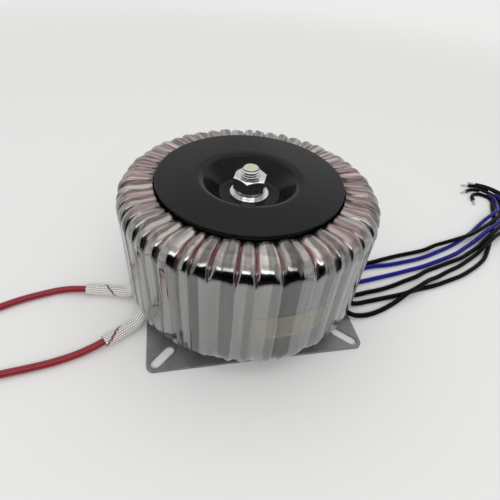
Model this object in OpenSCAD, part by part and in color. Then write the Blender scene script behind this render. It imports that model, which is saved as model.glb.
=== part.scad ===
// Toroidal transformer on a square fixing plate, clamped by one centre bolt.
// Origin: centre of the plate's underside. The four fixing slots lie along X and Y, and +Z is up.

/* [Fixing plate] */
// Side of the square plate
plate_side = 126.5; // [118:0.5:150]
// Thickness of the plate
plate_t = 1.5; // [1:0.1:2.5]
// Radius of the plate's corners
plate_corner_r = 4; // [2:0.5:8]
// Width of a fixing slot
slot_w = 6; // [4.5:0.1:8]
// End-to-end length of a fixing slot
slot_len = 16.5; // [10:0.5:22]
// Distance from a slot's outer end to the point of the plate's corner
slot_corner_gap = 4; // [3.5:0.5:8]
// Room between the bolt's head and the surface that the plate stands on
head_room = 2.4; // [1:0.1:5]
// Radius of the flat top of the plate's pressed cup
cup_flat_r = 14; // [12:0.5:17]
// Slope of the cup's wall
cup_slope = 50; // [40:1:60]
// Bend radius of the cup's two folds
cup_bend_r = 3; // [2:0.5:4]

/* [Rubber pads] */
// Outer radius of both pads
pad_r = 50.5; // [44:0.5:52]
// Thickness of the lower pad
low_pad_t = 3; // [2:0.25:5]
// Thickness of the upper pad
top_pad_t = 2; // [1:0.25:4]
// Gap between a pad and the curved sheet that passes through its hole
pad_hole_gap = 0.6; // [0.3:0.1:2]

/* [Clamping dish] */
// Outer radius of the dish
dish_r = 52; // [46:0.5:60]
// Sheet thickness of the dish
dish_t = 1.5; // [1:0.1:2.5]
// Depth of the bowl
bowl_depth = 11.7; // [8:0.1:15]
// Radius of the bowl's flat floor
bowl_flat_r = 15.5; // [13:0.5:18]
// Slope of the bowl's wall
bowl_slope = 48; // [40:1:60]
// Bend radius at the bowl's rim
bowl_rim_bend_r = 6; // [3:0.5:8]
// Bend radius at the bowl's floor
bowl_floor_bend_r = 4; // [3:0.5:5]
// Rounding of the dish's upper edge
dish_edge_r = 0.5; // [0.2:0.1:0.8]

/* [Fasteners] */
// Thread diameter of the bolt
bolt_d = 10; // [8:0.5:12]
// Width across flats of the head and the nut
hex_af = 17; // [15:0.5:19]
// Height of the bolt's head
head_h = 6.4; // [5:0.1:8]
// Length of thread that stands out above the nut
thread_proud = 4.8; // [2:0.1:10]
// Chamfer at the bolt's tip
tip_chamfer = 1.1; // [0.5:0.1:2]
// Height of the nut
nut_h = 8; // [6:0.1:10]
// Slope of the chamfers on the hexagons
hex_chamfer_angle = 30; // [15:1:35]
// Angle about Z at which the nut was left
nut_turn = -67; // [-180:1:180]
// Outer diameter of the flat washer
washer_d = 22; // [19:0.5:25]
// Thickness of the flat washer
washer_t = 2; // [1:0.1:3]
// Outer diameter of the spring washer
spring_washer_d = 18; // [16:0.5:18.5]
// Thickness of the spring washer
spring_washer_t = 2.5; // [1.5:0.1:3.5]
// Width of the cut in the spring washer
spring_washer_cut = 1.4; // [0.5:0.1:3]
// Slant of that cut
spring_washer_slant = 20; // [0:1:30]
// Angle about Z of that cut
spring_washer_turn = 60; // [-180:1:180]
// Play between the bolt and the holes it passes through
bolt_play = 0.3; // [0.1:0.05:0.8]
// Play between the bolt and the nut
thread_play = 0.1; // [0.05:0.05:0.2]

/* [Wound ring] */
// Radius over the film in the grooves
ring_r = 72.2; // [68:0.2:80]
// Radius of the hole through the ring
hole_r = 26; // [25:0.5:28]
// Height over the film in the grooves
ring_h = 74.6; // [64:0.2:90]
// Radius of the upper shoulders
top_round = 10.5; // [8:0.5:13]
// Radius of the lower outer shoulder
low_round = 18; // [12:0.5:20]
// Radius of the shoulders inside the hole
hole_round = 3.5; // [3:0.5:6]
// Gap that keeps the soft layers clear of their neighbours
seat_gap = 0.3; // [0.3:0.05:0.5]
// Thickness of the film
film_t = 0.8; // [0.7:0.1:1.5]
// Thickness of the secondary winding
secondary_t = 3.2; // [2:0.1:4.5]
// Thickness of the insulation between the windings
interlayer_t = 0.6; // [0.3:0.1:1.2]
// Thickness of the primary winding
primary_t = 3.4; // [2:0.1:4.5]
// Thickness of the insulation round the core
core_wrap_t = 1.2; // [0.5:0.1:2]
// Radius of the core's edges
core_edge_r = 0.8; // [0.5:0.1:1.5]

/* [Film pleats] */
// Height of the pleats above their grooves
pleat_h = 1.4; // [0.5:0.1:2.5]
// How far from the pad's edge a pleat reaches its full height
pleat_run_in = 3; // [2:0.5:5]
// Share of the height that a pleat keeps on the upright side
side_share = 0.4; // [0.1:0.05:0.8]
// Angle about Z of the first groove
first_groove = -112; // [-180:1:180]
// Height of the tape patch
patch_h = 16; // [8:1:20]
// Height of the patch's lower edge above the plate
patch_z = 34; // [28:1:40]
// Thickness of the patch
patch_t = 0.3; // [0.2:0.05:0.6]
// Angle about Z of the patch's left edge
patch_from = -51; // [-60:1:-40]
// Angle about Z of the patch's right edge
patch_to = -19; // [-30:1:-10]

/* [Leads] */
// Diameter of a red lead
red_d = 4.2; // [3.6:0.1:4.4]
// Diameter of a black or blue lead
thin_d = 3.2; // [2.6:0.1:3.2]
// Outer diameter of the braided sleeve on a red lead
sleeve_d = 6.8; // [6.2:0.1:6.9]
// Wall of the sleeve
sleeve_wall = 0.7; // [0.5:0.1:0.8]
// Diameter of the bare end of a red lead
red_core_d = 2.2; // [1.6:0.1:2.6]
// Diameter of the bare end of a thin lead
thin_core_d = 1.7; // [1.2:0.1:2]
// Length of a bare end
bare_len = 7; // [4:0.5:12]

/* [Hidden] */
$fn = 96;

// Heights of the stack, from the ground up
cup_h = head_room + head_h;
ring_z = plate_t + low_pad_t + seat_gap;
top_pad_z = ring_z + ring_h + seat_gap;
dish_z = top_pad_z + top_pad_t + dish_t;
washer_z = dish_z - bowl_depth;
spring_washer_z = washer_z + washer_t;
nut_z = spring_washer_z + spring_washer_t;
bolt_tip_z = nut_z + nut_h + thread_proud;

// Radius of a hexagon's flat end, as a share of half its width across flats
hex_end_share = 0.97;

// Fixing slots
slot_spacing = plate_side * sqrt(2) - 2 * slot_corner_gap - slot_len;

// Depths of the layers under the film's grooves
secondary_in = film_t + seat_gap;
interlayer_in = secondary_in + secondary_t;
primary_in = interlayer_in + interlayer_t;
core_wrap_in = primary_in + primary_t;
core_in = core_wrap_in + core_wrap_t;

// Widths of the pleats in degrees, round the ring from the first groove
pleat_widths = [
    7, 7, 7, 9, 5, 7, 10, 7, 10, 13, 9, 8, 8, 10, 8, 7,
    6, 8, 7, 9, 6, 7, 8, 6, 8, 7, 9, 6, 8, 7, 6, 8,
    7, 7, 9, 6, 7, 8, 7, 6, 8, 7, 7, 6, 8, 7, 6, 6
];
// Where a pleat's three lines lie across its width, and how high each one stands
pleat_lines = [[0, 0], [0.2, 0.85], [0.6, 1]];
// Most that a chord of the film's inner face may cut into its arc
film_chord = 0.22;
// Opening between the film's two edges, which meet inside the hole
lap_gap = 0.4;

// Routes of the leads: points on their centre lines, from the film to the cut end
red_route_1 = [
    [-43.4, -51.9, 9.7], [-46.5, -54.5, 6.3], [-50, -57, 4.1], [-55, -59.5, 3.5],
    [-62, -64, 3.5], [-68.5, -68, 3.5], [-73.5, -72, 3.5], [-79.5, -76, 2.8],
    [-85.5, -81.5, 2.1], [-91, -90, 2.1], [-96.5, -100, 2.1], [-101, -111, 2.1],
    [-105, -122.5, 2.1], [-107, -135, 2.1], [-106, -147, 2.1], [-102, -158.5, 2.1],
    [-95, -168.5, 2.1], [-87, -177.5, 2.1], [-79, -186.5, 2.1], [-70, -194.5, 2.1]
];
red_route_2 = [
    [-27, -62.5, 9.2], [-27.5, -66.5, 6.3], [-27.5, -71, 4.1], [-28.5, -76.5, 3.5],
    [-30, -83.5, 3.5], [-32, -90.5, 3.5], [-34.5, -97.5, 2.8], [-38, -105, 2.1],
    [-43.5, -115, 2.1], [-50.5, -125, 2.1], [-58.5, -135.5, 2.1], [-65, -145.5, 2.1],
    [-69.5, -156.5, 2.1], [-70, -168, 2.1], [-66, -179, 2.1], [-58.5, -188, 2.1],
    [-50, -196, 2.1], [-40.5, -203, 2.1]
];
black_route_1 = [
    [45, 51, 9.1], [46.5, 53, 6.3], [49.5, 56, 3.3], [53, 60, 1.8], [58.5, 66, 1.6],
    [65, 74, 1.6], [71.5, 84, 1.6], [79.5, 96, 1.6], [88, 107.5, 1.6], [95, 117, 2.2],
    [100.5, 125.5, 4.2], [106.5, 134, 5.1], [112, 143, 5.1], [117, 151.5, 5.1],
    [122, 161, 5.1], [126, 171, 5.1], [130, 182.5, 5.1], [133.5, 193.5, 5.1],
    [136.5, 205, 5.1], [137.5, 214.5, 4.4], [137, 224.5, 2.6], [135.5, 236.5, 1.6],
    [132.5, 243, 1.6], [127, 247.5, 1.6], [120, 249.5, 1.6], [113, 248.5, 1.6],
    [107, 244.5, 1.6], [103.5, 238, 1.6]
];
black_route_2 = [
    [62, 28, 9.1], [64, 30, 6.3], [66.5, 32.5, 3.3], [70, 37, 1.8], [75, 44, 1.6],
    [81.5, 52.5, 1.6], [87.5, 62, 1.6], [93, 72.5, 1.6], [98.5, 82.5, 1.6], [103, 93.5, 1.6],
    [108.5, 103.5, 1.6], [114.5, 114.5, 1.6], [121, 126.5, 1.6], [126, 140, 1.6],
    [130, 151.5, 2.2], [133, 163, 4.2], [136, 174, 5.1], [139, 184.5, 5.1],
    [142.5, 195.5, 4.2], [145, 206.5, 2.4], [146, 216.5, 1.6], [145, 227.5, 1.6],
    [142.5, 238, 1.6], [139.5, 246, 1.6], [134, 252, 1.6], [126.5, 256, 1.6],
    [118, 257, 1.6], [110, 255.5, 1.6], [103, 251, 1.6]
];
black_route_3 = [
    [64, 22.5, 9.1], [66.5, 24, 6.3], [69.5, 26, 3.3], [73.5, 30, 1.8], [79, 37, 1.6],
    [86.5, 46.5, 1.6], [95, 57.5, 1.6], [103, 69.5, 1.6], [111.5, 81, 1.6], [119, 93.5, 1.6],
    [125.5, 105, 1.6], [130.5, 117, 1.6], [134, 127.5, 1.6], [136.5, 138, 1.6],
    [137, 148.5, 1.6], [137, 159, 1.6], [136.5, 169, 1.6], [136, 179.5, 1.6],
    [135.5, 189, 1.6], [135, 198.5, 1.6], [133.5, 207.5, 1.6], [131.5, 217, 1.6],
    [129.5, 226.5, 1.6], [128, 235, 1.6], [125, 240, 1.6], [120, 241.6, 1.6],
    [114.5, 240.6, 1.6], [111, 236.5, 1.6], [110.5, 231, 1.6], [112.5, 225, 1.6]
];
black_route_4 = [
    [66.5, 15, 9.1], [69.5, 15.5, 6.3], [73.5, 17, 3.7], [77.5, 20, 2], [83, 25.5, 1.6],
    [88, 33.5, 1.6], [92, 42.5, 1.6], [95.5, 50.5, 3], [98.5, 58.5, 4.9], [102, 66.5, 5.1],
    [105, 75, 4.9], [107.5, 83.5, 3], [111.5, 92.5, 1.6], [116.5, 104, 1.6],
    [122, 115.5, 1.6], [126.5, 128, 1.6], [130.5, 139.5, 2.2], [133.5, 151, 4.2],
    [136.5, 162, 5.1], [139.5, 173, 5.1], [143.5, 183.5, 4.2], [147, 194, 2.4],
    [149.5, 204.5, 1.6], [150.5, 215.5, 1.6], [149.5, 227.5, 1.6], [146.5, 239, 1.6],
    [143.5, 246.5, 1.6], [139, 253, 1.6], [132, 258, 1.6], [124.5, 260.5, 1.6],
    [116.5, 261, 1.6], [108.5, 259, 1.6]
];
blue_route_1 = [
    [48.5, 47.5, 9.1], [50.5, 49.5, 6.3], [53, 52.5, 3.3], [56.5, 56.5, 1.8], [62, 63.5, 1.6],
    [69, 72.5, 1.6], [78, 82, 1.6], [86.5, 93, 1.6], [93, 102, 1.6], [99, 112, 1.6],
    [104, 122, 1.6], [109, 132.5, 1.6], [113.5, 143.5, 1.6], [117.5, 155.5, 1.6],
    [121, 167.5, 1.6], [123.5, 179, 1.6], [126, 189, 2.6], [129, 198, 4.6],
    [131.5, 205.5, 5.1], [133.5, 213, 5.1], [134, 220.5, 4], [133, 228, 2.4],
    [131.5, 235.5, 1.6], [128, 242.5, 1.6], [124.6, 244.3, 1.6], [121.4, 244.8, 1.6]
];
blue_route_2 = [
    [55.5, 39, 9.1], [57.5, 41, 6.3], [60.5, 43.5, 3.3], [64.5, 47.5, 1.8], [70, 54.5, 1.6],
    [76.5, 63.5, 1.6], [84, 74, 1.6], [91.5, 85, 1.6], [98.5, 95.5, 1.6], [105, 107, 1.6],
    [111.5, 119, 1.6], [117, 130.5, 1.6], [121, 142, 1.6], [125, 153.5, 2],
    [128.5, 164, 3.6], [132, 175, 5.1], [135, 186, 5.1], [138.5, 196.5, 5.1],
    [141, 207, 3.8], [142, 216.5, 2.2], [141, 226.5, 1.6], [139, 237.5, 1.6],
    [135.5, 245.5, 1.6], [131, 249.2, 1.6], [128, 250.7, 1.6]
];
// The sleeve covers this many points at the start of a red route
sleeve_points = [7, 6];

// Each lead: name, colour, diameter, bare diameter, route
leads = [
    ["red_lead_1", "firebrick", red_d, red_core_d, red_route_1],
    ["red_lead_2", "firebrick", red_d, red_core_d, red_route_2],
    ["black_lead_1", "#1c1c1e", thin_d, thin_core_d, black_route_1],
    ["black_lead_2", "#1c1c1e", thin_d, thin_core_d, black_route_2],
    ["black_lead_3", "#1c1c1e", thin_d, thin_core_d, black_route_3],
    ["black_lead_4", "#1c1c1e", thin_d, thin_core_d, black_route_4],
    ["blue_lead_1", "#1b1e8c", thin_d, thin_core_d, blue_route_1],
    ["blue_lead_2", "#1b1e8c", thin_d, thin_core_d, blue_route_2]
];
// Each sleeve: name, route under it
sleeves = [for (i = [0, 1]) [str("sleeve_", i + 1), [for (k = [0:sleeve_points[i] - 1]) leads[i][4][k]]]];

// ---- shared shapes ----

// A square with round corners, standing on one corner
module rounded_diamond(side, r) {
    rotate(45) {
        square([side, side - 2 * r], center = true);
        square([side - 2 * r, side], center = true);
        for (x = [-1, 1], y = [-1, 1])
            translate([x, y] * (side / 2 - r)) circle(r);
    }
}

// A slot with round ends, lying along X
module slot_outline(length, width) {
    square([length - width, width], center = true);
    for (x = [-1, 1])
        translate([x * (length - width) / 2, 0]) circle(d = width);
}

// A flat ring
module flat_ring(outer_r, inner_r, height) {
    difference() {
        cylinder(r = outer_r, h = height);
        translate([0, 0, -1]) cylinder(r = inner_r, h = height + 2);
    }
}

function arc(centre, r, from, to, steps) =
    [for (i = [0:steps]) let (a = from + (to - from) * i / steps) centre + r * [cos(a), sin(a)]];

// Radius at which a pressed sheet leaves its flat rim
function rim_fold_r(flat_r, depth, slope, rim_bend, floor_bend) =
    flat_r + (rim_bend + floor_bend) * sin(slope)
    + (depth - (rim_bend + floor_bend) * (1 - cos(slope))) / tan(slope);

// One face of a sheet that is pressed down into a bowl, from its rim inwards; lift is its height
// over the sheet's middle plane
function pressed_face(lift, inner_r, flat_r, depth, slope, rim_bend, floor_bend) = concat(
    arc([rim_fold_r(flat_r, depth, slope, rim_bend, floor_bend), -rim_bend],
        rim_bend + lift, 90, 90 + slope, 16),
    arc([flat_r, floor_bend - depth], floor_bend - lift, 270 + slope, 270, 12),
    [[inner_r, lift - depth]]
);

function reversed(list) = [for (i = [len(list) - 1:-1:0]) list[i]];

// A sheet with a bowl pressed down into it and a hole in the bowl's floor; its rim's top is at z = 0,
// and edge_r rounds the upper edge of the rim
module pressed_sheet(t, outer_r, inner_r, flat_r, depth, slope, rim_bend, floor_bend, edge_r = 0) {
    upper = pressed_face(t / 2, inner_r, flat_r, depth, slope, rim_bend, floor_bend);
    lower = pressed_face(-t / 2, inner_r, flat_r, depth, slope, rim_bend, floor_bend);
    edge = edge_r > 0
        ? concat([[outer_r, -t / 2]], arc([outer_r - edge_r, t / 2 - edge_r], edge_r, 0, 90, 4))
        : [[outer_r, -t / 2], [outer_r, t / 2]];
    translate([0, 0, -t / 2]) rotate_extrude() polygon(concat(edge, upper, reversed(lower)));
}

// A hexagonal prism whose corners are turned off at the top, and at the bottom too if both is true
module chamfered_hexagon(across_flats, height, both) {
    corner_r = across_flats / sqrt(3);
    flat_r = across_flats / 2 * hex_end_share;
    drop = (corner_r - flat_r) * tan(hex_chamfer_angle);
    intersection() {
        cylinder(r = corner_r, h = height, $fn = 6);
        rotate_extrude() polygon([
            [0, 0],
            [both ? flat_r : corner_r + 1, 0],
            [corner_r, both ? drop : 0],
            [corner_r, height - drop],
            [flat_r, height],
            [0, height]
        ]);
    }
}

// Radius of a shoulder a distance in from the film's grooves: as deep as the outer turns it runs
// parallel to the film, and from there it tightens to the edge of the core
function shoulder_r(r, inset) =
    inset <= secondary_in
        ? r - inset
        : core_edge_r + (r - secondary_in - core_edge_r) * (core_in - inset) / (core_in - secondary_in);

// Section of the wound ring, drawn a distance in from the film's grooves
module ring_section(inset) {
    outer = ring_r - inset;
    inner = hole_r + inset;
    low = ring_z + inset;
    high = ring_z + ring_h - inset;
    top_r = shoulder_r(top_round, inset);
    low_r = shoulder_r(low_round, inset);
    in_r = shoulder_r(hole_round, inset);
    polygon([
        [inner + in_r, low], [outer - low_r, low], [outer, low + low_r], [outer, high - top_r],
        [outer - top_r, high], [inner + in_r, high], [inner, high - in_r], [inner, low + in_r]
    ]);
    translate([outer - low_r, low + low_r]) circle(low_r);
    translate([outer - top_r, high - top_r]) circle(top_r);
    translate([inner + in_r, high - in_r]) circle(in_r);
    translate([inner + in_r, low + in_r]) circle(in_r);
}

// One closed layer of the wound ring
module ring_layer(inset, thickness) {
    rotate_extrude() difference() {
        ring_section(inset);
        ring_section(inset + thickness);
    }
}

// ---- film with its pleats ----

function sum_to(list, count) = count == 0 ? 0 : list[count - 1] + sum_to(list, count - 1);

// How high one pleat stands, as a share of the full height
function pleat_share(i) = 0.82 + 0.18 * sin(137 * i);

// The lines that run round the section: angle about Z and height share
pleat_columns = [
    for (i = [0:len(pleat_widths) - 1])
        let (start = first_groove + sum_to(pleat_widths, i))
        for (line = pleat_lines)
            [start + line[0] * pleat_widths[i], line[1] * pleat_share(i)]
];

// Steps in which a shoulder turns, so that the film's chords stay clear of the turns under them
function shoulder_steps(r) = ceil(45 / acos(1 - film_chord / (r - film_t)));

// One shoulder of the section, each point with its outward direction and its share of the height
function shoulder(centre, r, from, share_from, share_to) = [
    for (i = [0:shoulder_steps(r)])
        let (part = i / shoulder_steps(r), a = from + 90 * part, out = [cos(a), sin(a)])
        [centre + r * out, out, share_from + (share_to - share_from) * part]
];

// The film's section, anticlockwise from its lower edge in the hole to its upper edge just over it
film_top = ring_z + ring_h;
function film_rows(flat_rows) = concat(
    shoulder([hole_r + hole_round, ring_z + hole_round], hole_round, 180, 0, 0),
    shoulder([ring_r - low_round, ring_z + low_round], low_round, 270, 0, side_share),
    shoulder([ring_r - top_round, film_top - top_round], top_round, 0, side_share, 1),
    flat_rows,
    shoulder([hole_r + hole_round, film_top - hole_round], hole_round, 90, 0, 0),
    [[[hole_r, ring_z + hole_round + lap_gap], [-1, 0], 0]]
);
// The pleats run out on the flat top, where the pad presses the film down
film_outside = film_rows([
    [[pad_r + pleat_run_in, film_top], [0, 1], 0.9],
    [[pad_r + seat_gap, film_top], [0, 1], 0]
]);
film_inside = [for (row = reversed(film_rows([]))) [row[0] - film_t * row[1], row[1], 0]];
film_section = concat(film_outside, film_inside);

function film_point(row, column) =
    let (place = row[0] + row[1] * pleat_h * row[2] * column[1])
    [place[0] * cos(column[0]), place[0] * sin(column[0]), place[1]];

// ---- leads ----

function direction_at(route, i) =
    let (v = route[min(i + 1, len(route) - 1)] - route[max(i - 1, 0)]) v / norm(v);

// Points of a ring of the given radius, square to the route at point i
function ring_points(route, i, r, sides) =
    let (
        along = direction_at(route, i),
        across = cross(along, [0, 0, 1]) / norm(cross(along, [0, 0, 1])),
        up = cross(across, along)
    )
    [for (k = [0:sides - 1])
        let (a = 360 * (k + 0.5) / sides) route[i] + r * (across * cos(a) + up * sin(a))];

// Faces of a wall between rings; first is the index of its first point
function wall_faces(rings, sides, first, inward = false) = [
    for (i = [0:rings - 2])
        for (k = [0:sides - 1])
            let (
                a = first + i * sides + k,
                b = first + i * sides + (k + 1) % sides,
                c = b + sides,
                d = a + sides
            )
            each inward ? [[a, d, c], [a, c, b]] : [[a, c, d], [a, b, c]]
];

// A round cord along a route
module cord_tube(route, diameter, sides = 8) {
    last = (len(route) - 1) * sides;
    polyhedron(
        points = [for (i = [0:len(route) - 1]) each ring_points(route, i, diameter / 2, sides)],
        faces = concat(
            wall_faces(len(route), sides, 0),
            [[for (k = [sides - 1:-1:0]) k]],
            [[for (k = [0:sides - 1]) last + k]]
        )
    );
}

// A sleeve round a route, open at both ends
module sleeve_tube(route, outer_d, wall, sides = 12) {
    inner = len(route) * sides;
    last = (len(route) - 1) * sides;
    inner_r = (outer_d / 2 - wall) / cos(180 / sides);
    polyhedron(
        points = concat(
            [for (i = [0:len(route) - 1]) each ring_points(route, i, outer_d / 2, sides)],
            [for (i = [0:len(route) - 1]) each ring_points(route, i, inner_r, sides)]
        ),
        faces = concat(
            wall_faces(len(route), sides, 0),
            wall_faces(len(route), sides, inner, inward = true),
            [for (k = [0:sides - 1]) let (n = (k + 1) % sides)
                each [[k, inner + k, inner + n], [k, inner + n, n]]],
            [for (k = [0:sides - 1]) let (n = (k + 1) % sides)
                each [[last + k, last + n, inner + last + n], [last + k, inner + last + n, inner + last + k]]]
        )
    );
}

// ---- pieces ----

// Square sheet with four slots and a cup pressed up to hold the bolt's head
module base_plate() {
    fold_r = rim_fold_r(cup_flat_r, cup_h, cup_slope, cup_bend_r, cup_bend_r);
    color("#9b9fa1") difference() {
        union() {
            difference() {
                linear_extrude(plate_t) rounded_diamond(plate_side, plate_corner_r);
                translate([0, 0, -1]) cylinder(r = fold_r + 1, h = plate_t + 2);
            }
            mirror([0, 0, 1]) pressed_sheet(plate_t, fold_r + 1, bolt_d / 2 + bolt_play, cup_flat_r,
                cup_h, cup_slope, cup_bend_r, cup_bend_r);
        }
        for (turn = [0:90:270])
            rotate(turn) translate([slot_spacing / 2, 0, -1])
                linear_extrude(plate_t + 2) slot_outline(slot_len, slot_w);
    }
}

module lower_rubber_pad() {
    hole = rim_fold_r(cup_flat_r, cup_h, cup_slope, cup_bend_r, cup_bend_r) + pad_hole_gap;
    color("#202022") translate([0, 0, plate_t]) flat_ring(pad_r, hole, low_pad_t);
}

// Bolt with its head in the plate's cup; its thread is left plain
module centre_bolt() {
    color("#d2d4d2") {
        translate([0, 0, cup_h]) mirror([0, 0, 1]) chamfered_hexagon(hex_af, head_h, both = false);
        translate([0, 0, cup_h]) rotate_extrude() polygon([
            [0, 0], [bolt_d / 2, 0], [bolt_d / 2, bolt_tip_z - cup_h - tip_chamfer],
            [bolt_d / 2 - tip_chamfer, bolt_tip_z - cup_h], [0, bolt_tip_z - cup_h]
        ]);
    }
}

// Ring wound from steel strip
module steel_core() {
    color("#6f7478") rotate_extrude() ring_section(core_in);
}

module core_wrap() {
    color("#e8e4d0") ring_layer(core_wrap_in, core_wrap_t);
}

module primary_winding() {
    color("#a4532e") ring_layer(primary_in, primary_t);
}

module interlayer_insulation() {
    color("#ddd9c4") ring_layer(interlayer_in, interlayer_t);
}

module secondary_winding() {
    color("#b5603a") ring_layer(secondary_in, secondary_t);
}

// Lapped film wound through the hole, drawn tight over the turns in uneven pleats: each row of the
// section runs round the ring through every line of the pleats
module outer_film() {
    rows = len(film_section);
    columns = len(pleat_columns);
    color("#c9b9b2") polyhedron(
        points = [for (row = film_section) for (column = pleat_columns) film_point(row, column)],
        faces = [
            for (j = [0:rows - 1])
                for (k = [0:columns - 1])
                    let (
                        a = j * columns + k,
                        b = j * columns + (k + 1) % columns,
                        c = (j + 1) % rows * columns + (k + 1) % columns,
                        d = (j + 1) % rows * columns + k
                    )
                    each [[a, d, c], [a, c, b]]
        ]
    );
}

// Strip of tape that holds down the film's end
module tape_patch() {
    inner = ring_r + pleat_h * side_share + seat_gap / 2;
    color("#c8bf9a") rotate(patch_from) translate([0, 0, patch_z])
        rotate_extrude(angle = patch_to - patch_from)
            translate([inner, 0]) square([patch_t, patch_h]);
}

module upper_rubber_pad() {
    hole = rim_fold_r(bowl_flat_r, bowl_depth, bowl_slope, bowl_rim_bend_r, bowl_floor_bend_r) + pad_hole_gap;
    color("#202022") translate([0, 0, top_pad_z]) flat_ring(pad_r, hole, top_pad_t);
}

// Black dish that clamps the ring and takes the nut in its bowl
module clamping_dish() {
    color("#2b2d2c") translate([0, 0, dish_z])
        pressed_sheet(dish_t, dish_r, bolt_d / 2 + bolt_play, bowl_flat_r,
            bowl_depth, bowl_slope, bowl_rim_bend_r, bowl_floor_bend_r, dish_edge_r);
}

module flat_washer() {
    color("#d2d4d2") translate([0, 0, washer_z])
        flat_ring(washer_d / 2, bolt_d / 2 + bolt_play, washer_t);
}

// Split ring, flattened under the nut
module spring_washer() {
    color("#c6c8c6") translate([0, 0, spring_washer_z]) difference() {
        flat_ring(spring_washer_d / 2, bolt_d / 2 + bolt_play, spring_washer_t);
        rotate([0, spring_washer_slant, spring_washer_turn])
            translate([bolt_d / 4, -spring_washer_cut / 2, -spring_washer_d])
                cube([spring_washer_d, spring_washer_cut, 2 * spring_washer_d]);
    }
}

module hex_nut() {
    color("#d8dad8") translate([0, 0, nut_z]) rotate(nut_turn) difference() {
        chamfered_hexagon(hex_af, nut_h, both = true);
        translate([0, 0, -1]) cylinder(r = bolt_d / 2 + thread_play, h = nut_h + 2);
    }
}

module sleeve(s) {
    color("#e9e6de") sleeve_tube(s[1], sleeve_d, sleeve_wall);
}

module lead(l) {
    color(l[1]) cord_tube(l[4], l[2]);
}

// Stripped and tinned end of a lead
module bare_end(l) {
    route = l[4];
    along = direction_at(route, len(route) - 1);
    color("#b9bcbd") translate(route[len(route) - 1])
        rotate([0, 90, atan2(along[1], along[0])]) cylinder(d = l[3], h = bare_len);
}

base_plate();
lower_rubber_pad();
centre_bolt();
steel_core();
core_wrap();
primary_winding();
interlayer_insulation();
secondary_winding();
outer_film();
tape_patch();
upper_rubber_pad();
clamping_dish();
flat_washer();
spring_washer();
hex_nut();
for (s = sleeves)
    sleeve(s);
for (l = leads)
    lead(l);
for (l = leads)
    bare_end(l);
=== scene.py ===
import bisect
import bpy
import math
import random
from mathutils import Matrix, Vector, noise
from mathutils.geometry import interpolate_bezier


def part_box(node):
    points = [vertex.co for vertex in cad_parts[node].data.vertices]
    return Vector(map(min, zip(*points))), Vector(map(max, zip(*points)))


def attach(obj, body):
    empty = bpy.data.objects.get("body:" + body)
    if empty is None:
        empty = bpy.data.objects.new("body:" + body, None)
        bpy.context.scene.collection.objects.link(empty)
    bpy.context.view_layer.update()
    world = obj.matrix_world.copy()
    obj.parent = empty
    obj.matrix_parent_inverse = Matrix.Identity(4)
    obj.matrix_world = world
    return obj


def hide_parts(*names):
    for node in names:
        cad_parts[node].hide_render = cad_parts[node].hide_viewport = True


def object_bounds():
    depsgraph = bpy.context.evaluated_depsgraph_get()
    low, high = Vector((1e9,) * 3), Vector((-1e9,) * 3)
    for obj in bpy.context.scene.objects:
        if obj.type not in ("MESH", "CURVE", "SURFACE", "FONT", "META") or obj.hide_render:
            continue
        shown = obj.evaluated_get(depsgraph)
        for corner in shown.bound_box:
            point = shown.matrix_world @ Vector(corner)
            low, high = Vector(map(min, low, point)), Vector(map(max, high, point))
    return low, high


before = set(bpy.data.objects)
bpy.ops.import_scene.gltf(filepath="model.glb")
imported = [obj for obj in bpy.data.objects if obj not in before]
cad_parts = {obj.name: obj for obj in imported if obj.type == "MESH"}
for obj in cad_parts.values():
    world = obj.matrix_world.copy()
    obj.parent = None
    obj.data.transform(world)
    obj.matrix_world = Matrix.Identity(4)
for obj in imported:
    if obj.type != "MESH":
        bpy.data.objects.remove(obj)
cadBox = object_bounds()
scene = bpy.context.scene
scene.view_settings.view_transform = "Standard"
print("frame loaded:", len(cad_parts), "nodes")


# camera: looks down at the ring over one side of the plate

viewPoint = {
    "place": (0.0981, -0.1575, 0.192),
    "heading": 30.77,  # degrees anticlockwise from +Y
    "down": 41.25,  # degrees below the horizon
    "roll": 5.67,
    "lens": 27.57,  # mm
    "nearest": 0.01,
}


def makeCamera():
    data = bpy.data.cameras.new("camera")
    data.lens = viewPoint["lens"]
    data.clip_start = viewPoint["nearest"]
    camera = bpy.data.objects.new("camera", data)
    scene.collection.objects.link(camera)
    turn = Matrix.Rotation(math.radians(viewPoint["heading"]), 4, "Z")
    tilt = Matrix.Rotation(math.radians(90 - viewPoint["down"]), 4, "X")
    roll = Matrix.Rotation(math.radians(viewPoint["roll"]), 4, "Z")
    camera.matrix_world = Matrix.Translation(viewPoint["place"]) @ turn @ tilt @ roll
    scene.camera = camera


makeCamera()
print("camera set")


# node helpers

class Signal:  # one output of a node; the plain operators add Math nodes
    def __init__(self, desk, socket):
        self.desk = desk
        self.socket = socket

    def math(self, operation, a, b):
        return self.desk.add("Math", {"operation": operation}, {0: a, 1: b})

    def __add__(self, other):
        return self.math("ADD", self, other)

    def __sub__(self, other):
        return self.math("SUBTRACT", self, other)

    def __rsub__(self, other):
        return self.math("SUBTRACT", other, self)

    def __mul__(self, other):
        return self.math("MULTIPLY", self, other)

    __radd__ = __add__
    __rmul__ = __mul__


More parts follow.
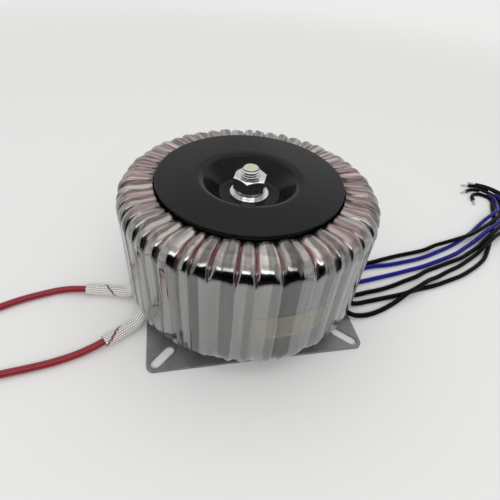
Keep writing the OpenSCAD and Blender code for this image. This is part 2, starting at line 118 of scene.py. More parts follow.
class NodeDesk:  # adds nodes to one tree
    def __init__(self, tree):
        self.tree = tree

    def feed(self, socket, value):
        if isinstance(value, Signal):
            self.tree.links.new(value.socket, socket)
        elif isinstance(value, tuple) and len(value) == 3 and socket.type == "RGBA":
            socket.default_value = value + (1,)
        else:
            socket.default_value = value

    def add(self, kind, settings=None, sockets=None, output=0):
        node = self.tree.nodes.new("ShaderNode" + kind)
        for key, value in (settings or {}).items():
            if key == "stops":
                self.setStops(node.color_ramp.elements, value)
            else:
                setattr(node, key, value)
        for key, value in (sockets or {}).items():
            self.feed(node.inputs[key], value)
        return Signal(self, node.outputs[output])

    def setStops(self, elements, stops):
        while len(elements) < len(stops):
            elements.new(0.5)
        for element, (position, color) in zip(elements, stops):
            element.position = position
            element.color = color + (1,) if isinstance(color, tuple) else (color,) * 3 + (1,)

    def noise(self, vector, scale, detail=3, roughness=0.5):
        return self.add("TexNoise", None,
                        {"Vector": vector, "Scale": scale, "Detail": detail, "Roughness": roughness})

    def ramp(self, factor, *stops):
        return self.add("ValToRGB", {"stops": stops}, {0: factor})

    def blend(self, factor, a, b):
        return self.add("Mix", {"data_type": "RGBA"}, {0: factor, 6: a, 7: b}, output=2)

    def spread(self, factor, low, high):  # a value from low to high
        return self.add("MapRange", None, {0: factor, 3: low, 4: high})

    def reach(self, value, start, end, shape="LINEAR"):  # 0 at the start, 1 at the end
        return self.add("MapRange", {"interpolation_type": shape}, {0: value, 1: start, 2: end})

    def dot(self, a, b):
        return self.add("VectorMath", {"operation": "DOT_PRODUCT"}, {0: a, 1: b}, output=1)


class Finish(NodeDesk):  # one material, built round its Principled shader
    def __init__(self, name, **fixed):
        self.material = bpy.data.materials.new(name)
        self.material.use_nodes = True
        super().__init__(self.material.node_tree)
        self.shader = self.tree.nodes["Principled BSDF"]
        self.put(**fixed)

    def put(self, **values):  # baseColor=... goes to the shader's Base Color socket
        for key, value in values.items():
            words = "".join(" " + c if c.isupper() else c for c in key).title()
            self.feed(self.shader.inputs[words.replace("Ior", "IOR")], value)

    def place(self, stretch=(1, 1, 1)):  # object coordinates in metres, stretched
        here = self.add("TexCoord", output=3)
        return self.add("Mapping", None, {"Vector": here, "Scale": stretch})

    def bump(self, height, distance, strength=1.0, edge=0):  # edge: radius that rounds sharp edges
        sockets = {"Height": height, "Distance": distance, "Strength": strength}
        if edge:
            sockets["Normal"] = self.add("Bevel", {"samples": 4}, {"Radius": edge})
        self.put(normal=self.add("Bump", None, sockets))


# shape helpers

def makePiece(name, points, faces, finish, smooth=True):
    mesh = bpy.data.meshes.new(name)
    mesh.from_pydata([tuple(p) for p in points], [], faces)
    mesh.validate()
    mesh.update()
    mesh.polygons.foreach_set("use_smooth", [smooth] * len(mesh.polygons))
    piece = bpy.data.objects.new(name, mesh)
    scene.collection.objects.link(piece)
    mesh.materials.append(finish.material)
    return piece


def gridFaces(rows, columns, closedRows=False, closedColumns=True, first=0):
    faces = []
    for j in range(rows if closedRows else rows - 1):
        for k in range(columns if closedColumns else columns - 1):
            a, b = j * columns + k, j * columns + (k + 1) % columns
            up = (j + 1) % rows * columns
            faces.append((first + a, first + b, first + up + (k + 1) % columns, first + up + k))
    return faces


def addMark(piece, name, kind, values):
    mark = piece.data.attributes.new(name, kind, "POINT")
    field = {"FLOAT": "value", "FLOAT_VECTOR": "vector", "FLOAT_COLOR": "color"}[kind]
    mark.data.foreach_set(field, values)


def eased(x):
    x = min(max(x, 0), 1)
    return x * x * (3 - 2 * x)


def place(piece, *nodes, slot):  # hands a finished piece over to the frame
    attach(piece, "root")
    if nodes:
        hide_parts(*nodes)
    return piece


# leads: each route runs from the film to the cut end

routes = {
    "redOne": [
        (-0.0434, -0.0519, 0.0097), (-0.0465, -0.0545, 0.0063), (-0.05, -0.057, 0.0041),
        (-0.055, -0.0595, 0.0035), (-0.062, -0.064, 0.0035), (-0.0685, -0.068, 0.0035),
        (-0.0735, -0.072, 0.0035), (-0.0795, -0.076, 0.0028), (-0.0855, -0.0815, 0.0021),
        (-0.091, -0.09, 0.0021), (-0.0965, -0.1, 0.0021), (-0.101, -0.111, 0.0021),
        (-0.105, -0.1225, 0.0021), (-0.107, -0.135, 0.0021), (-0.106, -0.147, 0.0021),
        (-0.102, -0.1585, 0.0021), (-0.095, -0.1685, 0.0021), (-0.087, -0.1775, 0.0021),
        (-0.079, -0.1865, 0.0021), (-0.07, -0.1945, 0.0021)
    ],
    "redTwo": [
        (-0.027, -0.0625, 0.0092), (-0.0275, -0.0665, 0.0063), (-0.0275, -0.071, 0.0041),
        (-0.0285, -0.0765, 0.0035), (-0.03, -0.0835, 0.0035), (-0.032, -0.0905, 0.0035),
        (-0.0345, -0.0975, 0.0028), (-0.038, -0.105, 0.0021), (-0.0435, -0.115, 0.0021),
        (-0.0505, -0.125, 0.0021), (-0.0585, -0.1355, 0.0021), (-0.065, -0.1455, 0.0021),
        (-0.0695, -0.1565, 0.0021), (-0.07, -0.168, 0.0021), (-0.066, -0.179, 0.0021),
        (-0.0585, -0.188, 0.0021), (-0.05, -0.196, 0.0021), (-0.0405, -0.203, 0.0021)
    ],
    "blackOne": [
        (0.045, 0.051, 0.0091), (0.0465, 0.053, 0.0063), (0.0495, 0.056, 0.0033),
        (0.053, 0.06, 0.0018), (0.0585, 0.066, 0.0016), (0.065, 0.074, 0.0016),
        (0.0715, 0.084, 0.0016), (0.0795, 0.096, 0.0016), (0.088, 0.1075, 0.0016),
        (0.095, 0.117, 0.0022), (0.1005, 0.1255, 0.0042), (0.1065, 0.134, 0.0051),
        (0.112, 0.143, 0.0051), (0.117, 0.1515, 0.0051), (0.122, 0.161, 0.0051),
        (0.126, 0.171, 0.0051), (0.13, 0.1825, 0.0051), (0.1335, 0.1935, 0.0051),
        (0.1365, 0.205, 0.0051), (0.1375, 0.2145, 0.0044), (0.137, 0.2245, 0.0026),
        (0.1355, 0.2365, 0.0016), (0.1325, 0.243, 0.0016), (0.127, 0.2475, 0.0016),
        (0.12, 0.2495, 0.0016), (0.113, 0.2485, 0.0016), (0.107, 0.2445, 0.0016),
        (0.1035, 0.238, 0.0016)
    ],
    "blackTwo": [
        (0.062, 0.028, 0.0091), (0.064, 0.03, 0.0063), (0.0665, 0.0325, 0.0033), (0.07, 0.037, 0.0018),
        (0.075, 0.044, 0.0016), (0.0815, 0.0525, 0.0016), (0.0875, 0.062, 0.0016),
        (0.093, 0.0725, 0.0016), (0.0985, 0.0825, 0.0016), (0.103, 0.0935, 0.0016),
        (0.1085, 0.1035, 0.0016), (0.1145, 0.1145, 0.0016), (0.121, 0.1265, 0.0016),
        (0.126, 0.14, 0.0016), (0.13, 0.1515, 0.0022), (0.133, 0.163, 0.0042), (0.136, 0.174, 0.0051),
        (0.139, 0.1845, 0.0051), (0.1425, 0.1955, 0.0042), (0.145, 0.2065, 0.0024),
        (0.146, 0.2165, 0.0016), (0.145, 0.2275, 0.0016), (0.1425, 0.238, 0.0016),
        (0.1395, 0.246, 0.0016), (0.134, 0.252, 0.0016), (0.1265, 0.256, 0.0016),
        (0.118, 0.257, 0.0016), (0.11, 0.2555, 0.0016), (0.103, 0.251, 0.0016)
    ],
    "blackThree": [
        (0.064, 0.0225, 0.0091), (0.0665, 0.024, 0.0063), (0.0695, 0.026, 0.0033),
        (0.0735, 0.03, 0.0018), (0.079, 0.037, 0.0016), (0.0865, 0.0465, 0.0016),
        (0.095, 0.0575, 0.0016), (0.103, 0.0695, 0.0016), (0.1115, 0.081, 0.0016),
        (0.119, 0.0935, 0.0016), (0.1255, 0.105, 0.0016), (0.1305, 0.117, 0.0016),
        (0.134, 0.1275, 0.0016), (0.1365, 0.138, 0.0016), (0.137, 0.1485, 0.0016),
        (0.137, 0.159, 0.0016), (0.1365, 0.169, 0.0016), (0.136, 0.1795, 0.0016),
        (0.1355, 0.189, 0.0016), (0.135, 0.1985, 0.0016), (0.1335, 0.2075, 0.0016),
        (0.1315, 0.217, 0.0016), (0.1295, 0.2265, 0.0016), (0.128, 0.235, 0.0016),
        (0.125, 0.24, 0.0016), (0.12, 0.2416, 0.0016), (0.1145, 0.2406, 0.0016),
        (0.111, 0.2365, 0.0016), (0.1105, 0.231, 0.0016), (0.1125, 0.225, 0.0016)
    ],
    "blackFour": [
        (0.0665, 0.015, 0.0091), (0.0695, 0.0155, 0.0063), (0.0735, 0.017, 0.0037),
        (0.0775, 0.02, 0.002), (0.083, 0.0255, 0.0016), (0.088, 0.0335, 0.0016),
        (0.092, 0.0425, 0.0016), (0.0955, 0.0505, 0.003), (0.0985, 0.0585, 0.0049),
        (0.102, 0.0665, 0.0051), (0.105, 0.075, 0.0049), (0.1075, 0.0835, 0.003),
        (0.1115, 0.0925, 0.0016), (0.1165, 0.104, 0.0016), (0.122, 0.1155, 0.0016),
        (0.1265, 0.128, 0.0016), (0.1305, 0.1395, 0.0022), (0.1335, 0.151, 0.0042),
        (0.1365, 0.162, 0.0051), (0.1395, 0.173, 0.0051), (0.1435, 0.1835, 0.0042),
        (0.147, 0.194, 0.0024), (0.1495, 0.2045, 0.0016), (0.1505, 0.2155, 0.0016),
        (0.1495, 0.2275, 0.0016), (0.1465, 0.239, 0.0016), (0.1435, 0.2465, 0.0016),
        (0.139, 0.253, 0.0016), (0.132, 0.258, 0.0016), (0.1245, 0.2605, 0.0016),
        (0.1165, 0.261, 0.0016), (0.1085, 0.259, 0.0016)
    ],
    "blueOne": [
        (0.0485, 0.0475, 0.0091), (0.0505, 0.0495, 0.0063), (0.053, 0.0525, 0.0033),
        (0.0565, 0.0565, 0.0018), (0.062, 0.0635, 0.0016), (0.069, 0.0725, 0.0016),
        (0.078, 0.082, 0.0016), (0.0865, 0.093, 0.0016), (0.093, 0.102, 0.0016),
        (0.099, 0.112, 0.0016), (0.104, 0.122, 0.0016), (0.109, 0.1325, 0.0016),
        (0.1135, 0.1435, 0.0016), (0.1175, 0.1555, 0.0016), (0.121, 0.1675, 0.0016),
        (0.1235, 0.179, 0.0016), (0.126, 0.189, 0.0026), (0.129, 0.198, 0.0046),
        (0.1315, 0.2055, 0.0051), (0.1335, 0.213, 0.0051), (0.134, 0.2205, 0.004),
        (0.133, 0.228, 0.0024), (0.1315, 0.2355, 0.0016), (0.128, 0.2425, 0.0016),
        (0.1246, 0.2443, 0.0016), (0.1214, 0.2448, 0.0016)
    ],
    "blueTwo": [
        (0.0555, 0.039, 0.0091), (0.0575, 0.041, 0.0063), (0.0605, 0.0435, 0.0033),
        (0.0645, 0.0475, 0.0018), (0.07, 0.0545, 0.0016), (0.0765, 0.0635, 0.0016),
        (0.084, 0.074, 0.0016), (0.0915, 0.085, 0.0016), (0.0985, 0.0955, 0.0016),
        (0.105, 0.107, 0.0016), (0.1115, 0.119, 0.0016), (0.117, 0.1305, 0.0016),
        (0.121, 0.142, 0.0016), (0.125, 0.1535, 0.002), (0.1285, 0.164, 0.0036),
        (0.132, 0.175, 0.0051), (0.135, 0.186, 0.0051), (0.1385, 0.1965, 0.0051),
        (0.141, 0.207, 0.0038), (0.142, 0.2165, 0.0022), (0.141, 0.2265, 0.0016),
        (0.139, 0.2375, 0.0016), (0.1355, 0.2455, 0.0016), (0.131, 0.2492, 0.0016),
        (0.128, 0.2507, 0.0016)
    ],
}

leadSizes = {
    "redDiameter": 0.0042,
    "thinDiameter": 0.0032,
    "redCore": 0.0022,
    "thinCore": 0.0017,
    "smoothness": 8,  # steps of the curve between two points of a route
    "roundness": 6,
}

leads = [  # CAD name, route, colour, and the names of the two diameters above
    ("red_lead_1", "redOne", "red", "redDiameter", "redCore"),
    ("red_lead_2", "redTwo", "red", "redDiameter", "redCore"),
    ("black_lead_1", "blackOne", "black", "thinDiameter", "thinCore"),
    ("black_lead_2", "blackTwo", "black", "thinDiameter", "thinCore"),
    ("black_lead_3", "blackThree", "black", "thinDiameter", "thinCore"),
    ("black_lead_4", "blackFour", "black", "thinDiameter", "thinCore"),
    ("blue_lead_1", "blueOne", "blue", "thinDiameter", "thinCore"),
    ("blue_lead_2", "blueTwo", "blue", "thinDiameter", "thinCore"),
]


def withHandles(points):  # (point, handle before, handle after) along a smooth curve
    points = [Vector(p) for p in points]
    out = []
    for i, p in enumerate(points):
        before, after = points[max(i - 1, 0)], points[min(i + 1, len(points) - 1)]
        along = (after - before).normalized()
        out.append((p, p - along * (p - before).length / 3, p + along * (after - p).length / 3))
    return out


def sampled(points, steps):  # places along that curve, so many steps from point to point
    knots = withHandles(points)
    out = [knots[0][0]]
    for (a, _, right), (b, left, _) in zip(knots, knots[1:]):
        out += interpolate_bezier(a, right, left, b, steps + 1)[1:]
    return out


def runLength(path):
    return sum((b - a).length for a, b in zip(path, path[1:]))


def evenPath(path, count):  # the same path in equal steps
    total = runLength(path)
    out, i, passed = [path[0]], 0, 0.0
    for n in range(1, count):
        target = total * n / count
        while passed + (path[i + 1] - path[i]).length < target:
            passed += (path[i + 1] - path[i]).length
            i += 1
        share = (target - passed) / (path[i + 1] - path[i]).length
        out.append(path[i].lerp(path[i + 1], share))
    return out + [path[-1]]


def ringsAlong(path):  # for each point of a path its place, side and up vectors
    out = []
    for i, p in enumerate(path):
        along = (path[min(i + 1, len(path) - 1)] - path[max(i - 1, 0)]).normalized()
        side = along.cross(Vector((0, 0, 1))).normalized()
        out.append((p, side, side.cross(along)))
    return out


def plasticFinish(name, color, dark, gloss, shine):
    finish = Finish(name, specularIorLevel=shine)
    here = finish.place()
    finish.put(baseColor=finish.blend(finish.noise(here, 90, 2), color, dark))
    finish.put(roughness=finish.spread(finish.noise(here, 900, 2), gloss - 0.06, gloss + 0.1))
    finish.bump(finish.noise(here, 1400, 2), 0.00003)
    return finish


leadFinishes = {
    "red": plasticFinish("redPvc", (0.29, 0.001, 0.012), (0.19, 0.0, 0.008), 0.2, 0.45),
    "black": plasticFinish("blackPvc", (0.0015, 0.0015, 0.0016), (0.003, 0.003, 0.0031), 0.3, 0.05),
    "blue": plasticFinish("bluePvc", (0.001, 0.001, 0.24), (0.001, 0.001, 0.15), 0.28, 0.2),
}


def makeLead(name, route, finish, diameter):
    data = bpy.data.curves.new(name + "_cord", "CURVE")
    data.dimensions = "3D"
    data.resolution_u = leadSizes["smoothness"]
    data.bevel_depth = diameter / 2
    data.bevel_resolution = leadSizes["roundness"]
    data.use_fill_caps = True
    knots = withHandles(routes[route])
    spline = data.splines.new("BEZIER")
    spline.bezier_points.add(len(knots) - 1)
    for point, (middle, left, right) in zip(spline.bezier_points, knots):
        point.handle_left_type = point.handle_right_type = "FREE"
        point.co, point.handle_left, point.handle_right = middle, left, right
    data.materials.append(finish.material)
    piece = bpy.data.objects.new(name + "_cord", data)
    scene.collection.objects.link(piece)
    return piece


# bare ends of the leads, one strand in the middle and the others twisted round it

bareEnd = {
    "length": 0.007,
    "strands": 7,
    "strandsAcross": 3,
    "twist": 0.55,  # turns
    "sides": 8,
    "rings": 14,
}


def tinnedFinish():  # solder-grey strands with a little copper showing
    finish = Finish("tinnedCopper", metallic=1.0)
    here = finish.place()
    bare = finish.ramp(finish.noise(here, 700, 4, 0.6), (0.55, 0.0), (0.7, 0.6))
    finish.put(baseColor=finish.blend(bare, (0.62, 0.61, 0.58), (0.6, 0.42, 0.3)))
    finish.put(roughness=finish.spread(finish.noise(here, 1500, 3), 0.24, 0.46))
    finish.bump(finish.noise(here, 3000, 3), 0.00003)
    return finish


tinFinish = tinnedFinish()


def makeBareEnd(name, route, diameter):
    last, before = Vector(routes[route][-1]), Vector(routes[route][-2])
    along = (last - before).normalized()
    along.z = 0
    along.normalize()
    up = Vector((0, 0, 1))
    side = along.cross(up)
    count, sides, rings = bareEnd["strands"], bareEnd["sides"], bareEnd["rings"]
    strandRadius = diameter / (2 * bareEnd["strandsAcross"])
    points, faces = [], []
    for s in range(count):
        orbit = 0 if s == 0 else diameter / 2 - strandRadius
        first = len(points)
        for j in range(rings):
            t = j / (rings - 1)
            swing = math.tau * (s / (count - 1) + bareEnd["twist"] * t)
            centre = last + along * (bareEnd["length"] * t)
            centre += (side * math.cos(swing) + up * math.sin(swing)) * orbit
            for k in range(sides):
                a = math.tau * k / sides
                points.append(centre + (side * math.cos(a) + up * math.sin(a)) * strandRadius)
        faces += gridFaces(rings, sides, first=first)
        faces.append(tuple(range(first + sides - 1, first - 1, -1)))
        end = first + (rings - 1) * sides
        faces.append(tuple(range(end, end + sides)))
    return makePiece(name + "_strands", points, faces, tinFinish)


# braided sleeves on the red leads

braid = {
    "width": 0.0079,
    "height": 0.0062,
    "wall": 0.0007,
    "sides": 144,
    "pathSteps": 60,
    "ringStep": 0.00018,
    "innerSteps": 40,
    "columnsAround": 16,
    "stitchPitch": 0.0015,  # along the sleeve
    "stitchBase": 0.12,  # height left between two stitches, as a share
    "stitchPower": 0.7,  # under 1, a stitch or a rib has a fuller round
    "ribPower": 0.6,
    "relief": 0.0003,
    # value given to the inside of the sleeve: painted shade inside the tube
    "insideShade": 0.3,
    "tracerPitch": {"redOne": -0.02, "redTwo": 0.03},  # one turn of the coloured thread
    "tracerWidth": 0.085,  # share of a turn
    "tracerStitch": 0.45,  # the coloured thread shows where stitch and rib are higher than this
    "tracerRib": 0.4,
    "tracerPhase": {"redOne": 0.15, "redTwo": 0.0},
    "trim": {"redOne": 0.002, "redTwo": 0.0},
    "pointsCovered": {"redOne": 7, "redTwo": 6},
}


def braidFinish():
    finish = Finish("braidedGlass", roughness=0.62, specularIorLevel=0.35)
    weave = finish.add("Attribute", {"attribute_name": "weave"}, output=2)
    tracer = finish.add("Attribute", {"attribute_name": "tracer"}, output=2)
    here = finish.place()
    dirt = finish.noise(here, 260, 4)
    # the braid's height picks the colour: painted shade dark in the dips between stitches and inside the
    # sleeve, white glass on the raised stitches
    thread = finish.ramp(weave, (0.15, (0.12, 0.11, 0.1)), (0.45, (0.66, 0.64, 0.61)),
                         (0.8, (0.93, 0.92, 0.9)))
    worn = finish.blend(finish.spread(dirt, 0, 0.2), thread, (0.66, 0.62, 0.55))
    finish.put(baseColor=finish.blend(tracer, worn, (0.2, 0.012, 0.03)))
    finish.bump(finish.noise(here, 4200, 3), 0.00006)
    return finish


sleeveFinish = braidFinish()


def stitchAt(route, s, turn):  # height of the braid from 0 to 1, and 1 where the coloured thread shows
    column = turn * braid["columnsAround"]
    shift = 0.5 * (int(column) % 2)
    stitch = abs(math.sin(math.pi * (s / braid["stitchPitch"] + shift)))
    rib = math.sin(math.pi * (column % 1)) ** braid["ribPower"]
    height = rib * (braid["stitchBase"] + (1 - braid["stitchBase"]) * stitch ** braid["stitchPower"])
    off = abs((turn - s / braid["tracerPitch"][route] + braid["tracerPhase"][route]) % 1 - 0.5)
    raised = stitch > braid["tracerStitch"] and rib > braid["tracerRib"]
    return height, 1.0 if off < braid["tracerWidth"] / 2 and raised else 0.0


def makeSleeve(name, route):
    path = sampled(routes[route][:braid["pointsCovered"][route]], braid["pathSteps"])
    count = round(runLength(path) / braid["ringStep"])
    even = evenPath(path, count)[:count - round(braid["trim"][route] / braid["ringStep"])]
    length = runLength(even)
    across, tall, sides = braid["width"] / 2, braid["height"] / 2, braid["sides"]
    points, weave, tracer = [], [], []

    def addPoint(middle, side, up, k, rise):
        a = math.tau * k / sides
        points.append(middle + side * (math.cos(a) * (across + rise)) + up * (math.sin(a) * (tall + rise)))

    rings = ringsAlong(even)
    for j, ring in enumerate(rings):
        for k in range(sides):
            height, colored = stitchAt(route, length * j / (len(rings) - 1), k / sides)
            addPoint(*ring, k, braid["relief"] * (height - 1))
            weave.append(height)
            tracer.append(colored)
    outerCount, steps = len(points), braid["innerSteps"]
    inner = [rings[round(i * (len(rings) - 1) / steps)] for i in range(steps + 1)]
    for ring in inner:
        for k in range(sides):
            addPoint(*ring, k, -braid["wall"])
            weave.append(braid["insideShade"])
            tracer.append(0.0)
    faces = gridFaces(len(rings), sides)
    faces += [tuple(reversed(face)) for face in gridFaces(len(inner), sides, first=outerCount)]
    last, innerLast = (len(rings) - 1) * sides, outerCount + steps * sides
    for k in range(sides):
        n = (k + 1) % sides
        faces.append((k, outerCount + k, outerCount + n, n))
        faces.append((last + k, last + n, innerLast + n, innerLast + k))
    piece = makePiece(name + "_braid", points, faces, sleeveFinish)
    addMark(piece, "weave", "FLOAT", weave)
    addMark(piece, "tracer", "FLOAT", tracer)
    return piece


def placeLeads():
    for name, route, color, diameter, core in leads:
        cord = makeLead(name, route, leadFinishes[color], leadSizes[diameter])
        place(cord, name, slot=color + "_insulation")
        ends = [place(makeBareEnd(name, route, leadSizes[core]), name + "_end", slot="tinned_copper")]
        if color == "red":
            sleeve = name.replace("red_lead", "sleeve")
            ends.append(place(makeSleeve(sleeve, route), sleeve, slot="glass_sleeving"))
        length = runLength(sampled(routes[route], leadSizes["smoothness"]))


placeLeads()
print("leads laid")


# film round the ring, in lapped pleats

film = {
    "radius": 0.0722,  # in the grooves
    "holeRadius": 0.026,
    "topRound": 0.0105,
    "lowRound": 0.0135,
    "holeRound": 0.0035,
    "padGap": 0.0003,
    "pleatsFrom": 0.0531,  # the pleats stand to this radius, then drop to the pad
    "pleatsTo": 0.0516,
    "tentsFrom": 0.0625,
    "columns": 1080,
    "lowSteps": 12,
    "sideSteps": 22,
    "shoulderSteps": 18,
    "flatSteps": 4,
    "dropSteps": 5,
    "holeSteps": 4,
    "pleatHeight": 0.0021,
    "footShare": 0.1,  # shares of that height at the foot of the ring and on its side
    "sideShare": 0.26,
    "firstGroove": -112,  # degrees from +X
    "pleatWidths": [  # degrees
        7, 7, 7, 9, 5, 7, 10, 7, 10, 13, 9, 8, 8, 10, 8, 7,
        6, 8, 7, 9, 6, 7, 8, 6, 8, 7, 9, 6, 8, 7, 6, 8,
        7, 7, 9, 6, 7, 8, 7, 6, 8, 7, 7, 6, 8, 7, 6, 6,
    ],
    "wander": 0.9,  # degrees that a fold strays from upright
    "wanderScale": (3, 22),  # of its noise, round the ring and along the section
    "wanderCalm": 0.6,
    "sideFolds": (0.16, 0.12),  # shares of a pleat that its two folds take
    "topFolds": (0.17, 0.13),
    "topLevel": 0.86,
    "topFall": 0.28,
    "tentPower": 1.5,
    "tentFoot": 0.25,
    "tentFootRise": 8,
    "ridge": 0.0015,  # extra roundness of each pleat on the shoulder
    "ridgeSink": 0.4,
    "lapStep": 0.00013,
    "lapRun": 0.05,  # share of a pleat over which the lap rises
    "pucker": 0.0006,  # fine radial puckers on top
    "puckerScale": (21, 30),
    "hemHigh": 0.024,
    "hemRuffle": 0.0022,  # uneven hem at the foot of the ring
    "ruffleScale": (17, 5),
    "wrinkle": 0.00012,
    "wrinkleScale": (160, 60),
    "wrinkleFrom": 0.05,  # share of the pleats' height
    "bulge": 0.0011,  # the ring is a little fuller on the thin leads' side
    "bulgeAt": 32,
    "grooveWidth": 0.0011,
    "grooveDepth": 1.6,
    "toneRun": 0.04,
    "topFrom": 0.42,  # from the side's tones to those of the top, as a share of the shoulder
    "topRun": 0.3,
    "notchFrom": 0.0585,  # inside this radius the folds end in dark notches of painted shade
    "notchWidth": 0.34,
    "notchPower": 1.5,
    "notchBlur": 0.07,
    "notchDark": 0.93,
    # painted shade on the film under the edge of the pad
    "gapShade": 0.97,
    "gapRun": 3,
    "bandDark": 0.32,  # tones of each pleat on top: painted shade along its crest and painted highlight on its edges
    "bandBright": 1.5,
    "bandHalf": 0.15,
    "bandBlur": 0.09,
    "pinkAt": 32,  # the pleats are painted pinkest here, over the thin leads, and opposite
    "pink": 1.2,
    "pinkLess": 0.2,
    "pinkBright": 0.55,
    # brighter patches near the hem: painted reflection of the floor
    "hemReflection": 2.6,
    "hemReflectionScale": (30, 90),
    "hemReflectionLevel": 0.15,
}


# the rows of one section: radius, height, outward direction, share of the pleats' height, and
# the way over the top, from 0 on the side and 1 past the shoulder to 2 at the pad
def filmRows():
    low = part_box("outer_film")[0].z
    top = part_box("upper_rubber_pad")[0].z - film["padGap"]
    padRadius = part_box("upper_rubber_pad")[1].x
    outer, hole, side = film["radius"], film["holeRadius"], film["sideShare"]
    rows = []

    def turn(centre, radius, start, steps, shares, tops):
        for i in range(steps + 1):
            a = math.radians(start + 90 * i / steps)
            out = (math.cos(a), math.sin(a))
            rows.append((centre[0] + radius * out[0], centre[1] + radius * out[1], out,
                         shares[0] + (shares[1] - shares[0]) * eased(i / steps),
                         tops[0] + (tops[1] - tops[0]) * i / steps))

    r = film["lowRound"]
    turn((outer - r, low + r), r, 270, film["lowSteps"], (film["footShare"], side), (0, 0))
    sideLow, sideHigh, steps = low + r, top - film["topRound"], film["sideSteps"]
    for i in range(1, steps):
        rows.append((outer, sideLow + (sideHigh - sideLow) * i / steps, (1, 0), side, 0))
    r = film["topRound"]
    turn((outer - r, top - r), r, 0, film["shoulderSteps"], (side, 1), (0, 1))
    flat, run, edge = outer - r, film["pleatsFrom"], film["pleatsTo"]
    steps = film["flatSteps"]
    for i in range(1, steps + 1):
        rows.append((flat + (run - flat) * i / steps, top, (0, 1), 1, 1))
    steps = film["dropSteps"]
    for i in range(1, steps + 1):
        rows.append((run + (edge - run) * i / steps, top, (0, 1), 1 - eased(i / steps), 1 + i / steps))
    rows.append((padRadius, top, (0, 1), 0, 2))
    r = film["holeRound"]
    turn((hole + r, top - r), r, 90, film["holeSteps"], (0, 0), (2, 0))
    turn((hole + r, low + r), r, 180, film["holeSteps"], (0, 0), (0, 0))
    return rows


def flatStrip(u, folds):  # height across a pleat, level between its two folds
    return eased(u / folds[0]) * eased((1 - u) / folds[1])


def topShape(u, crest, inner):  # a flat strip between sharp folds, a tent at its inner end
    rise = u / crest if u < crest else (1 - u) / (1 - crest)
    foot = 1 - film["tentFoot"] * eased(rise * film["tentFootRise"])
    tent = 1 - (1 - min(rise, 1)) ** film["tentPower"] * foot
    flat = flatStrip(u, film["topFolds"]) * (film["topLevel"] + film["topFall"] * (crest - u))
    return flat + (tent - flat) * inner


def filmFinish():
    finish = Finish("lappedFilm", specularIorLevel=0.6, coatRoughness=0.05)
    marks = finish.add("Attribute", {"attribute_name": "filmMarks"}, output=0)
    groove, tone, top = [finish.add("SeparateColor", None, {0: marks}, output=i) for i in range(3)]
    blush = finish.add("Attribute", {"attribute_name": "filmMarks"}, output=3)
    around = finish.add("Attribute", {"attribute_name": "wrapPlace"}, output=1)
    streak = finish.noise(around, 46, 3, 0.55)
    clear = finish.ramp(streak, (0.25, 0.0), (0.75, 1.0))
    side = finish.blend(streak, (0.24, 0.245, 0.24), (0.34, 0.345, 0.335))
    crown = finish.blend(clear, (0.43, 0.4, 0.375), (0.25, 0.22, 0.205))
    pink = finish.blend(clear, (0.39, 0.25, 0.24), (0.19, 0.11, 0.11))
    body = finish.blend(top, side, finish.blend(blush, crown, pink))
    # the tone brings in the painted shade, painted highlights and painted reflection worked out in marks()
    toned = finish.add("VectorMath", {"operation": "SCALE"}, {0: body, 3: tone})
    finish.put(baseColor=finish.blend(groove, toned, (0.12, 0.004, 0.007)))
    finish.put(metallic=finish.spread(top, 1.0, 0.62) - groove * 0.5, coatWeight=0.5 - groove * 0.35)
    finish.put(roughness=finish.spread(finish.noise(around, 30, 3), 0.06, 0.14) + top * 0.12)
    tall = finish.add("VectorMath", {"operation": "MULTIPLY"}, {0: around, 1: (0.7, 0.7, 11)})
    finish.bump(finish.noise(tall, 26, 4), 0.00012, 0.5)
    return finish


def drawPleats():  # the pleats in order, each with values of its own
    rng, other = random.Random(7), random.Random(11)
    pleats, start = [], film["firstGroove"]
    for i, width in enumerate(film["pleatWidths"]):
        pleats.append({
            "start": start,
            "width": width,
            "share": 0.82 + 0.18 * math.sin(math.radians(137 * i)),  # of the pleats' height
            "split": rng.uniform(0.3, 0.68),  # where its lap and its two side tones meet
            # two tones on the side, differing from pleat to pleat: partly the film's own thickness, partly
            # painted reflection of facets that face different ways
            "tones": rng.choice([(1.0, 0.42), (0.5, 1.05), (0.95, 0.62), (0.42, 0.88), (1.08, 0.78)]),
            "topTone": rng.uniform(0.58, 1.02),
            "line": rng.choice([0.25, 0.6, 0.9, 1.0]),  # strength of the red line in its groove
            "blush": rng.uniform(-0.3, 0.3),
            "sideLine": rng.choice([0.0, 0.0, 0.0, 0.06, 0.25]),
            "tilt": rng.uniform(-0.0004, 0.0004),
            "flat": rng.uniform(0.25, 1.1),  # how flat it is drawn between its folds on the side
            "crest": rng.uniform(0.25, 0.65),  # where its tent is highest
            "lean": rng.uniform(0.75, 1.7),
            "band": other.uniform(0.3, 0.95),
            "notch": other.choice([0.3, 0.7, 1.0]),
        })
        start += width
    return pleats


